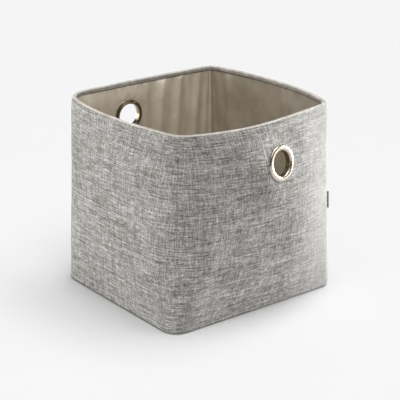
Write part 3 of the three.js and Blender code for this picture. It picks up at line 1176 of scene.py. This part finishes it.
def flat_panel(
    name: str,
    rim: Array,
    bottom: float,
    thickness: float,
    ripple: float,
    seed: int,
    rings: int = 40,
    edge: Callable[[Array], Array] | None = None,
) -> bpy.types.Object:
    """Makes a flat sheet of cloth inside a closed outline.

    Args:
        name: the piece's name.
        rim: the outline's points.
        bottom: the height of its lower face.
        thickness: the cloth's thickness.
        ripple: how uneven it is.
        seed: which unevenness.
        rings: how many rings of faces it has.
        edge: extra height for a share of the way out from the middle.

    Returns:
        The piece, closed.
    """
    middle = rim[:, :2].mean(axis=0)
    shares = np.linspace(0, 1, rings + 1)[1:] ** 0.8
    flat = [middle + s * (rim[:, :2] - middle) for s in shares]
    rows, columns = len(flat), len(rim)
    grid = np.concatenate(flat)
    share = np.repeat(shares, columns)
    uneven = ripple * (smooth_noise(grid[:, 0] / 0.09, grid[:, 1] / 0.09, seed) * 0.5 + 0.5)
    extra = edge(share) if edge else 0.0
    uneven = uneven * np.clip((1 - share) * 12, 0, 1)
    centre = ripple * 0.5 + (float(edge(np.zeros(1))[0]) if edge else 0.0)
    sheets = []
    for z in (bottom, bottom + thickness):
        sheets.append(np.column_stack([grid, z + uneven + extra]))
        sheets.append(np.array([[*middle, z + centre]]))
    count = rows * columns + 1
    points = np.concatenate(sheets)
    faces: list[tuple[int, ...]] = []
    for upper in (False, True):
        base = count if upper else 0
        for c in range(columns):
            n = (c + 1) % columns
            tri = (base + count - 1, base + c, base + n)
            faces.append(tri if upper else tuple(reversed(tri)))
            for r in range(rows - 1):
                quad = (
                    base + r * columns + c,
                    base + (r + 1) * columns + c,
                    base + (r + 1) * columns + n,
                    base + r * columns + n,
                )
                faces.append(quad if upper else tuple(reversed(quad)))
    last = (rows - 1) * columns
    for c in range(columns):
        n = (c + 1) % columns
        faces.append((last + c, last + n, count + last + n, count + last + c))
    return mesh_piece(name, points, faces, points[:, :2].copy())


@dataclass
class Boards:
    """Stiffener boards of the walls, whose lower edge stays clear of the rounded base edge."""

    form: BinForm
    finishes: Finishes
    seats: dict[Wall, Seat]
    top_gap: float = 3.0 * MM
    bottom: float = 3.0 * MM
    over_bend: float = 0.4 * MM
    bend_reach: float = 60 * MM
    end_gap: float = 0.012  # share of the wall left free at each seam

    def build(self) -> None:
        """Builds and dresses each board."""
        form = self.form
        inset = form.shell + form.clearance
        for wall in Wall:
            turns = np.linspace(wall.value + self.end_gap, wall.value + 1 - self.end_gap, 81)
            z = np.linspace(self.bottom, form.height - self.top_gap, 30)
            path = np.stack([np.full_like(z, inset), z], axis=1)

            def shift(turn: Array, z: Array, way: Array) -> tuple[Array, Array]:
                """Raises the lower edge over the cloth's bend."""
                low = form.foot_height(turn, inset) + self.over_bend - self.bottom
                return 0 * z, low * np.clip(1 - (z - self.bottom) / self.bend_reach, 0, 1)

            piece = Cloth(form, form.board).swept(f"board_{wall.word}_sheet", turns, path, shift)
            if wall in self.seats:
                cut_round_hole(piece, self.seats[wall])
            dress(piece, self.finishes.board, Slot.BOARD, Body.BIN, f"board_{wall.word}")


@dataclass
class Lining:
    """Inner cloth: four wall panels caught under the hem, and the bottom panel."""

    form: BinForm
    finishes: Finishes
    seats: dict[Wall, Seat]
    cloth: float = 0.4 * MM
    columns: int = 150
    fold: float = 7.5 * MM
    hung_folds: dict[Wall, tuple[tuple[float, float, float], ...]] = field(
        default_factory=lambda: {
            Wall.FRONT: ((40, 8, 0.5), (95, 10, 0.3), (150, 7, 0.5), (205, 11, 0.4), (250, 7, 0.4)),
            Wall.RIGHT: ((30, 9, 0.4), (80, 7, 0.5), (120, 11, 0.3), (225, 8, 0.5), (262, 7, 0.3)),
            Wall.BACK: (
                *((38, 9, 0.25), (104, 7, 0.35), (122, 5, 0.4)),
                *((178, 10, 0.2), (238, 8, 0.8), (262, 7, 0.4)),
            ),
            Wall.LEFT: (
                *((18, 6, 0.25), (37, 8, 0.6), (58, 5, 0.35), (76, 8, 1.0)),
                *((112, 9, 1.1), (142, 7, 0.5), (250, 8, 0.4)),
            ),
        }
    )  # each fold's place along the wall and width in mm, and its size
    eyelet_creases: tuple[tuple[float, float, float], ...] = (
        (-8 * MM, -13 * MM, 1.0),
        (7 * MM, 3 * MM, 1.2),
        (15 * MM, 22 * MM, 0.5),
    )  # each crease's place at the washer and at the hem, and its size
    pucker: float = 0.7 * MM
    crease: float = 1.6 * MM
    held: float = 31 * MM
    foot: float = 4.5 * MM
    lower_edge: float = 2.8 * MM
    over_bend: float = 0.6 * MM
    bend_start: float = 3.0 * MM
    bend_reach: float = 50 * MM
    top_gap: float = 3.0 * MM
    end_gap: float = 0.15 * MM
    gathered: float = 40 * MM

    def build(self) -> None:
        """Builds and dresses every panel."""
        for wall in Wall:
            self._wall(wall)
        self._base()

    def _shift(self, wall: Wall) -> Callable[[Array, Array, Array], tuple[Array, Array]]:
        """How far the lining stands in from where it is held.

        Args:
            wall: the wall that it lines.

        Returns:
            The function of turn, height and way that Cloth takes.
        """
        form = self.form
        seam = form.height - form.hem

        def shift(turn: Array, z: Array, way: Array) -> tuple[Array, Array]:
            """Folds, puckers and creases."""
            girth = form.girth(turn)
            start, end = form.girth(float(wall.value)), form.girth(wall.value + 1.0)
            to_corner = np.minimum(girth - start, end - girth)
            free = np.clip(to_corner / 0.022, 0, 1) ** 0.7
            below = np.clip((seam - z) / 0.03, 0, 1)
            above_floor = np.clip(z / 0.06, 0, 1)
            folds = 0.12 * smooth_noise(girth / 0.07, z / 0.5, 20 + wall.value)
            for number, (place, wide, size) in enumerate(self.hung_folds[wall]):
                sway = 7 * MM * math.sin(2.3 * number) * np.sin(3 * (seam - z) / seam)
                off = (girth - start - place * MM - sway) / (wide * MM)
                reach = 0.55 + 0.35 * math.cos(1.7 * number)
                folds = folds + size * np.exp(-(off**2) - ((seam - z) / (reach * seam)) ** 2)
            depth = np.clip(self.fold * folds * below**0.5, 0, 1) * above_floor
            gather = smooth_noise(girth / 0.013, z / 0.3, 40 + wall.value, 1)
            under = seam - z
            near_seam = np.clip(under / 0.003, 0, 1) * np.exp(-np.clip(under, 0, 1) / 0.016)
            depth = depth + self.pucker * (0.5 + 0.5 * gather) * near_seam
            if wall in self.seats:
                depth = self._at_eyelet(depth, turn, girth, z, self.seats[wall])
            low = form.foot_height(turn, form.lining_inset) + self.over_bend - self.bend_start
            rise = np.clip(low, 0, 1) * np.clip(1 - (z - self.bend_start) / self.bend_reach, 0, 1)
            return depth * free, rise

        return shift

    def _at_eyelet(self, depth: Array, turn: Array, girth: Array, z: Array, seat: Seat) -> Array:
        """Holds the lining flat under the washer and pulls creases up from it to the hem.

        Args:
            depth: how far it stands in without the eyelet.
            turn: the way round.
            girth: the distance round.
            z: the height.
            seat: the eyelet's seat.

        Returns:
            The depth with the eyelet.
        """
        form = self.form
        across = girth - form.girth(seat.turn)
        rise = z - seat.centre[2]
        away = np.hypot(across, rise)
        depth = depth * np.clip((away - 26 * MM) / (self.held - 20 * MM), 0, 1)
        seam = form.height - form.hem
        span = seam - (seat.centre[2] + 24 * MM)
        up = np.clip((rise - 24 * MM) / span, 0, 1)
        shown = np.clip((rise - 25 * MM) / (4 * MM), 0, 1) * np.clip((seam - z) / (2 * MM), 0, 1)
        for foot, head, size in self.eyelet_creases:
            off = (across - foot - (head - foot) * up) / (2.2 * MM)
            depth = depth + size * self.crease * np.exp(-(off**2)) * shown
        return depth

    def _wall(self, wall: Wall) -> None:
        """Builds one wall panel."""
        form = self.form
        name = f"lining_{wall.word}_cloth"
        s = np.linspace(0, 1, self.columns + 1)
        start, end = form.girth(float(wall.value)), form.girth(wall.value + 1.0)
        girth = start + self.end_gap + (end - start - 2 * self.end_gap) * s
        turns = np.interp(girth, form.way, np.arange(len(form.way))) / form.wall_steps
        rest = form.lining_inset + 0.1 * MM
        bend = np.linspace(math.pi / 2, 0, 7)
        foot = rest + self.foot * (1 - np.cos(bend))
        foot_z = self.lower_edge + self.foot * (1 - np.sin(bend))
        top = form.height - self.top_gap
        under = form.height - form.hem
        z = np.concatenate(
            [
                np.linspace(top, under + 0.5 * MM, 4),
                under - np.linspace(0, 1, 26)[1:] ** 1.3 * self.gathered,
                np.linspace(under - self.gathered, self.lower_edge + self.foot, 48)[1:-1],
            ]
        )[::-1]
        path = np.concatenate(
            [np.stack([foot, foot_z], axis=1), np.stack([np.full_like(z, rest), z], axis=1)]
        )
        piece = Cloth(form, self.cloth).swept(name, turns, path, self._shift(wall))
        if wall in self.seats:
            cut_round_hole(piece, self.seats[wall])
        dress(piece, self.finishes.lining, Slot.LINING, Body.BIN, f"lining_{wall.word}")

    def _base(self) -> None:
        """Builds the bottom panel of the lining."""
        form = self.form
        turns = np.linspace(0, 4, 337)[:-1]
        radius = form.foot_radius(turns)
        drop = np.clip(1 - 0.35 * MM / radius, 0, 1)
        clear = radius * (1 - np.sqrt(1 - drop**2))
        rim = form.skin(turns, 2.3 * MM, np.maximum(form.lining_inset + 0.5 * MM, clear))
        piece = flat_panel("lining_base_cloth", rim, 1.75 * MM, self.cloth, 0.2 * MM, 77)
        dress(piece, self.finishes.lining, Slot.LINING, Body.BIN, "lining_base")
        width, length = (float(v) for v in np.ptp(corner_array(piece), axis=0)[:2])


@dataclass
class Eyelets:
    """The two metal eyelets and their washers."""

    sizes: EyeletSizes
    finishes: Finishes
    seats: dict[Wall, Seat]
    clearance: float = 0.3 * MM

    def build(self) -> None:
        """Builds both eyelets."""
        for wall, seat in self.seats.items():
            self._ring(wall, seat)
            self._washer(wall, seat)

    def _ring(self, wall: Wall, seat: Seat) -> None:
        """Builds the flange, barrel and rolled end of one eyelet."""
        s = self.sizes
        face = seat.inner - s.washer_metal
        roll = face - self.clearance
        angles = np.linspace(0, math.pi, 25)
        half = s.flange / 2
        dome = np.stack(
            [
                s.bore + half + half * np.sign(np.cos(angles)) * np.abs(np.cos(angles)) ** 0.75,
                seat.outer + 0.3 * MM + (s.dome - 0.3 * MM) * np.abs(np.sin(angles)) ** 0.75,
            ],
            axis=1,
        )
        lip = np.linspace(math.pi, 2 * math.pi, 17)
        wide = (s.metal + s.roll) / 2
        curl = np.stack(
            [
                s.bore + wide + wide * np.cos(lip),
                roll - 0.2 * MM + 1.15 * MM * np.sin(lip),
            ],
            axis=1,
        )
        profile = np.concatenate(
            [
                [(s.barrel, seat.outer), (s.bore + s.flange - 0.4 * MM, seat.outer)],
                dome,
                np.stack(
                    [np.full(8, s.bore), np.linspace(seat.outer - 0.2 * MM, roll + 0.3 * MM, 8)],
                    axis=1,
                ),
                curl,
                [(s.barrel + 0.4 * MM, roll), (s.barrel, roll + 0.3 * MM)],
            ]
        )
        points, faces, flat = turned(profile, seat)
        piece = mesh_piece(f"eyelet_{wall.word}_ring", points, faces, flat)
        dress(piece, self.finishes.metal, Slot.METAL, Body.BIN, f"eyelet_{wall.word}")

    def _washer(self, wall: Wall, seat: Seat) -> None:
        """Builds the beaded washer on the lining side."""
        s = self.sizes
        inner = s.barrel + self.clearance
        face = seat.inner - s.washer_metal
        reach = np.linspace(0, 1, 33)
        rise = 0.35 * MM * np.abs(np.sin(reach * 2.5 * math.pi))
        fall = np.clip((reach - 0.85) / 0.15, 0, 1) ** 2 * 0.8 * MM
        top = np.stack([inner + s.washer * reach, face - rise + fall + 0.3 * MM], axis=1)
        back = [(inner + s.washer, seat.inner), (inner, seat.inner)]
        profile = np.concatenate([top, back])[::-1]
        points, faces, flat = turned(profile, seat)
        piece = mesh_piece(f"washer_{wall.word}_ring", points, faces, flat)
        # The washer takes the darker copy of the metal: painted shade.
        dress(piece, self.finishes.aged, Slot.METAL, Body.BIN, f"washer_{wall.word}")


@dataclass
class SeamLabel:
    """Blank folded tape that stands out of the right and back walls' seam."""

    form: BinForm
    finishes: Finishes
    bottom: float = 131 * MM
    height: float = 27 * MM
    reach: float = 3 * MM
    sewn_in: float = 2.4 * MM
    tape: float = 0.35 * MM

    def build(self) -> None:
        """Builds the label."""
        rows = np.linspace(self.bottom, self.bottom + self.height, 25)
        bend = np.linspace(-math.pi / 2, math.pi / 2, 9)
        half = self.tape * 1.15
        arms = np.linspace(-self.sewn_in, self.reach - half, 9)
        fold = [
            *[(out, -half) for out in arms],
            *[(self.reach - half + half * math.cos(a), half * math.sin(a)) for a in bend],
            *[(out, half) for out in arms[::-1]],
        ]
        path = np.array(fold)
        step = 1 * MM
        tangent = np.gradient(path, axis=0)
        normal = np.stack([-tangent[:, 1], tangent[:, 0]], axis=1)
        normal /= np.linalg.norm(normal, axis=1, keepdims=True)
        sheets = []
        for side in (0.0, 0.6 * self.tape):
            line = path + side * normal
            for z in rows:
                root = self.form.skin(2.0, z, 0.0)
                out = root - self.form.skin(2.0, z, step)
                out /= np.linalg.norm(out)
                across = np.array([-out[1], out[0], 0.0])
                lean = 0.35 * MM * math.sin((z - self.bottom) / self.height * 5)
                curl = lean * (line[:, :1] / self.reach) ** 2
                sheets.append(root + line[:, :1] * out + (line[:, 1:] + curl) * across)
        points, faces = np.concatenate(sheets), sheet_faces(len(rows), len(path))
        way = np.concatenate([[0], np.cumsum(np.linalg.norm(np.diff(path, axis=0), axis=1))])
        flat = np.array([(w, z) for z in rows for w in way])
        piece = mesh_piece("seam_label_tape", points, faces, np.concatenate([flat, flat]))
        dress(piece, self.finishes.tape, Slot.LABEL, Body.BIN, "seam_label")


@dataclass
class Insert:
    """Loose base insert: a board in a cover of two cloths sewn together at the edge."""

    form: BinForm
    finishes: Finishes
    cloth: float = 0.5 * MM
    looks: int = 56
    look_width: float = 0.09
    steps: int = 240

    def _outline(self) -> Array:
        """Edge of the cover, read from the frame's own node."""
        node = bpy.data.objects["insert_cover"]
        points = corner_array(node)[:, :2]
        middle = (points.min(axis=0) + points.max(axis=0)) / 2
        away = points - middle
        angles = np.arctan2(away[:, 1], away[:, 0])
        reach = np.hypot(away[:, 0], away[:, 1])
        outer = []
        for angle in np.linspace(-math.pi, math.pi, self.looks, endpoint=False):
            near = np.abs((angles - angle + math.pi) % (2 * math.pi) - math.pi) < self.look_width
            outer.append((angle, reach[near].max()))
        table = np.array(outer)
        fine = np.linspace(-math.pi, math.pi, self.steps, endpoint=False)
        closing = np.concatenate([table, [(math.pi, table[0, 1])]])
        radius = np.interp(fine, closing[:, 0], closing[:, 1])
        return middle + radius[:, None] * np.stack([np.cos(fine), np.sin(fine)], axis=1)

    def build(self) -> None:
        """Builds and dresses the cover's two cloths."""
        low, high = (np.array(corner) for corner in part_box("insert_cover"))
        rim = self._outline()
        middle_z = (low[2] + high[2]) / 2
        half = (high[2] - low[2]) / 2

        def crown(share: Array) -> Array:
            """Height of the upper cloth over the edge seam."""
            edge = np.clip((1 - share) / 0.03, 0, 1)
            return (half - self.cloth) * np.sqrt(1 - (1 - edge) ** 2)

        flat_rim = np.column_stack([rim, np.zeros(len(rim))])
        upper = flat_panel(
            "insert_cover_top", flat_rim, middle_z, self.cloth, 0.3 * MM, 5, 60, crown
        )
        lower = flat_panel(
            "insert_cover_bottom",
            flat_rim,
            middle_z - self.cloth - 0.05 * MM,
            self.cloth,
            0.0,
            6,
            60,
            lambda share: -crown(share),
        )
        for piece in (upper, lower):
            dress(piece, self.finishes.lining, Slot.LINING, Body.INSERT, "insert_cover")


@dataclass
class Stitching:
    """Short stitches of thread laid along the hem."""

    form: BinForm
    finishes: Finishes
    length: float = 2.5 * MM
    pitch: float = 3.6 * MM
    radius: float = 0.42 * MM
    sides: int = 6
    arch: tuple[float, ...] = (-0.6, 0.35, 0.6, 0.35, -0.6)  # of the radius, along one stitch
    girth: tuple[float, ...] = (0.35, 0.9, 1.0, 0.9, 0.35)

    def _run(self, name: str, places: Array, outward: Array) -> None:
        """Lays stitches along a closed line.

        Args:
            name: the piece's name.
            places: points of the line.
            outward: direction in which the stitches stand out, at each point.
        """
        sides, rings = self.sides, len(self.arch)
        ring = np.linspace(0, 2 * math.pi, sides, endpoint=False)
        closed = np.concatenate([places, places[:1]])
        way = np.concatenate([[0], np.cumsum(np.linalg.norm(np.diff(closed, axis=0), axis=1))])
        total = way[-1]
        count = int(total // self.pitch)
        points: list[Array] = []
        faces: list[tuple[int, ...]] = []
        out_closed = np.concatenate([outward, outward[:1]])
        for k in range(count):
            start = k * total / count
            at = start + np.linspace(0, self.length, rings)
            line = np.stack([np.interp(at, way, closed[:, i]) for i in range(3)], axis=1)
            out = np.stack([np.interp(at, way, out_closed[:, i]) for i in range(3)], axis=1)
            out /= np.linalg.norm(out, axis=1, keepdims=True)
            along = line[-1] - line[0]
            along /= np.linalg.norm(along)
            arch = np.array(self.arch) * self.radius
            slim = np.array(self.girth) * self.radius
            base = len(points) * sides
            for i in range(rings):
                side = np.cross(along, out[i])
                ringed = np.cos(ring)[:, None] * out[i] + np.sin(ring)[:, None] * side
                points.append(line[i] + arch[i] * out[i] + slim[i] * ringed)
            for i in range(rings - 1):
                for j in range(sides):
                    a, b = base + i * sides + j, base + i * sides + (j + 1) % sides
                    faces.append((a, b, b + sides, a + sides))
            faces.append(tuple(base + j for j in reversed(range(sides))))
            faces.append(tuple(base + (rings - 1) * sides + j for j in range(sides)))
        piece = mesh_piece(name, np.concatenate(points), faces)
        dress(piece, self.finishes.thread, Slot.LINING, Body.BIN)

    def build(self) -> None:
        """Sews the hem inside the rim."""
        form = self.form
        turns = np.linspace(0, 4, 1201)[:-1]
        z = form.height - form.hem - 0.25 * MM
        hem = form.skin(turns, z, form.rim - 0.35 * MM)
        inward = form.skin(turns, z, form.rim + 1 * MM) - form.skin(turns, z, form.rim)
        self._run("hem_stitches", hem, inward)


# ---------------------------------------------------------------------- studio


@dataclass(frozen=True)
class Sun:
    """A broad light from far away."""

    name: str
    toward: tuple[float, float, float]
    strength: float
    spread: float  # degrees


@dataclass(frozen=True)
class SoftBox:
    """A square soft light beside the bin, placed and aimed from the middle of its base."""

    name: str
    place: tuple[float, float, float]
    aim: tuple[float, float, float]
    size: float
    power: float


@dataclass
class Studio:
    """Floor, light and camera, all placed from the middle of the bin's base."""

    form: BinForm
    finishes: Finishes
    bearing: float = 52.125
    elevation: float = 20.332
    distance: float = 1.8887
    lens: float = 121.106
    aim: tuple[float, float, float] = (0.16005, -0.11697, 0.2076)  # from the base's middle
    ceiling: float = 0.52
    walls: float = 0.02
    backdrop: float = 0.90
    floor_reach: float = 12.0
    suns: tuple[Sun, ...] = (
        Sun("overhead_light", (0.0, 0.0, 1.0), 0.95, 20),
        Sun("high_light", (-0.02, 0.3, 1.0), 0.89, 28),
        Sun("right_light", (0.9, -0.3, 1.6), 0.55, 32),
        Sun("back_light", (0.45, 0.7, 1.25), 0.41, 32),
    )
    boxes: tuple[SoftBox, ...] = (
        SoftBox("right_box", (0.35, 1.22, 0.24), (0.16, 0.1, 0.09), 0.6, 25.0),
        SoftBox("left_box", (-0.89, -0.7, 0.3), (-0.11, -0.15, 0.10), 0.6, 4.0),
        SoftBox("top_box", (-0.09, -0.1, 1.1), (-0.09, -0.05, 0.2), 0.5, 1.0),
        SoftBox("low_box", (-0.24, -1.3, 0.15), (0.01, -0.15, 0.10), 0.6, 6.2),
        SoftBox("fold_box", (0.23, -0.72, 0.62), (-0.13, -0.02, 0.25), 0.4, 2.9),
    )

    def build(self) -> None:
        """Sets up the whole studio."""
        self._floor()
        self._camera()
        self._sky()
        self._suns()
        self._soft_boxes()
        bpy.context.scene.view_settings.view_transform = "Standard"

    def _placed(self, offset: Sequence[float]) -> Vector:
        """Point at an offset from the middle of the base."""
        return Vector((*self.form.middle, 0.0)) + Vector(offset)

    def _floor(self) -> None:
        """Lays a large pale floor."""
        signs = np.array([(-1, -1, 0), (1, -1, 0), (1, 1, 0), (-1, 1, 0)])
        corners = signs * self.floor_reach
        floor = mesh_piece("studio_floor", corners, [(0, 1, 2, 3)], smooth=False)
        floor.data.materials.append(self.finishes.floor)

    def _camera(self) -> None:
        """Stands the camera in front of the bin's near corner."""
        az, el = math.radians(self.bearing), math.radians(self.elevation)
        back = Vector(
            (math.sin(az) * math.cos(el), -math.cos(az) * math.cos(el), math.sin(el))
        )
        data = bpy.data.cameras.new("camera")
        data.lens = self.lens
        data.sensor_width = 36.0
        camera = bpy.data.objects.new("camera", data)
        camera.location = self._placed(self.aim) + back * self.distance
        camera.rotation_euler = back.to_track_quat("Z", "Y").to_euler()
        bpy.context.collection.objects.link(camera)
        bpy.context.scene.camera = camera

    def _sky(self) -> None:
        """Lights the room evenly."""
        world = bpy.data.worlds.new("studio")
        world.use_nodes = True
        tree = world.node_tree
        tree.nodes.clear()
        toward = add_node(tree, "ShaderNodeTexCoord", {}, {}, "Generated")
        height = add_node(tree, "ShaderNodeSeparateXYZ", {}, {0: toward}, 2)
        seen = add_node(tree, "ShaderNodeLightPath", {}, {}, "Is Camera Ray")
        light = height.band(0.3, 0.95) * self.ceiling + self.walls
        sky = add_node(
            tree,
            "ShaderNodeBackground",
            {},
            {
                "Color": (1.0, 1.0, 1.0),
                "Strength": seen * self.backdrop + (1 - seen) * light,
            },
        )
        add_node(tree, "ShaderNodeOutputWorld", {}, {0: sky})
        bpy.context.scene.world = world

    def _suns(self) -> None:
        """Adds the broad main lights: two from above, one from the right, one from behind."""
        for sun in self.suns:
            data = bpy.data.lights.new(sun.name, "SUN")
            data.energy = sun.strength
            data.angle = math.radians(sun.spread)
            light = bpy.data.objects.new(sun.name, data)
            light.rotation_euler = Vector(sun.toward).to_track_quat("Z", "Y").to_euler()
            bpy.context.collection.objects.link(light)

    def _soft_boxes(self) -> None:
        """Adds soft boxes beside the bin that light only the bin."""
        lit = bpy.data.collections.new("lit_by_boxes")
        side = bpy.data.collections.new("lit_from_the_side")
        folds = bpy.data.collections.new("lit_along_the_folds")
        for piece in bpy.data.objects:
            if piece.type == "MESH" and piece.name != "studio_floor":
                lit.objects.link(piece)
                if "_back" not in piece.name and "shell_left" not in piece.name:
                    side.objects.link(piece)
                if piece.name == "lining_left_cloth":
                    folds.objects.link(piece)
        only = {"right_box": side, "fold_box": folds}
        for box in self.boxes:
            data = bpy.data.lights.new(box.name, "AREA")
            data.shape = "SQUARE"
            data.size = box.size
            data.energy = box.power
            light = bpy.data.objects.new(box.name, data)
            light.location = self._placed(box.place)
            toward = Vector(box.place) - Vector(box.aim)
            light.rotation_euler = toward.to_track_quat("Z", "Y").to_euler()
            bpy.context.collection.objects.link(light)
            light.light_linking.receiver_collection = only.get(box.name, lit)


def main() -> None:
    """Builds the bin and its studio."""
    logging.basicConfig(level=logging.INFO, format="%(name)s %(message)s")
    form = BinForm()
    sizes = EyeletSizes()
    seats = {wall: sizes.seat(form, wall) for wall in (Wall.RIGHT, Wall.LEFT)}
    finishes = Finishes()
    insert_board = frame["nodes"]["insert_board"]
    insert_board.data.materials.clear()
    insert_board.data.materials.append(finishes.board)
    Boards(form, finishes, seats).build()
    Shell(form, finishes, seats).build()
    Lining(form, finishes, seats).build()
    Eyelets(sizes, finishes, seats).build()
    SeamLabel(form, finishes).build()
    Insert(form, finishes).build()
    Stitching(form, finishes).build()
    Studio(form, finishes).build()


if __name__ == "__main__":
    main()
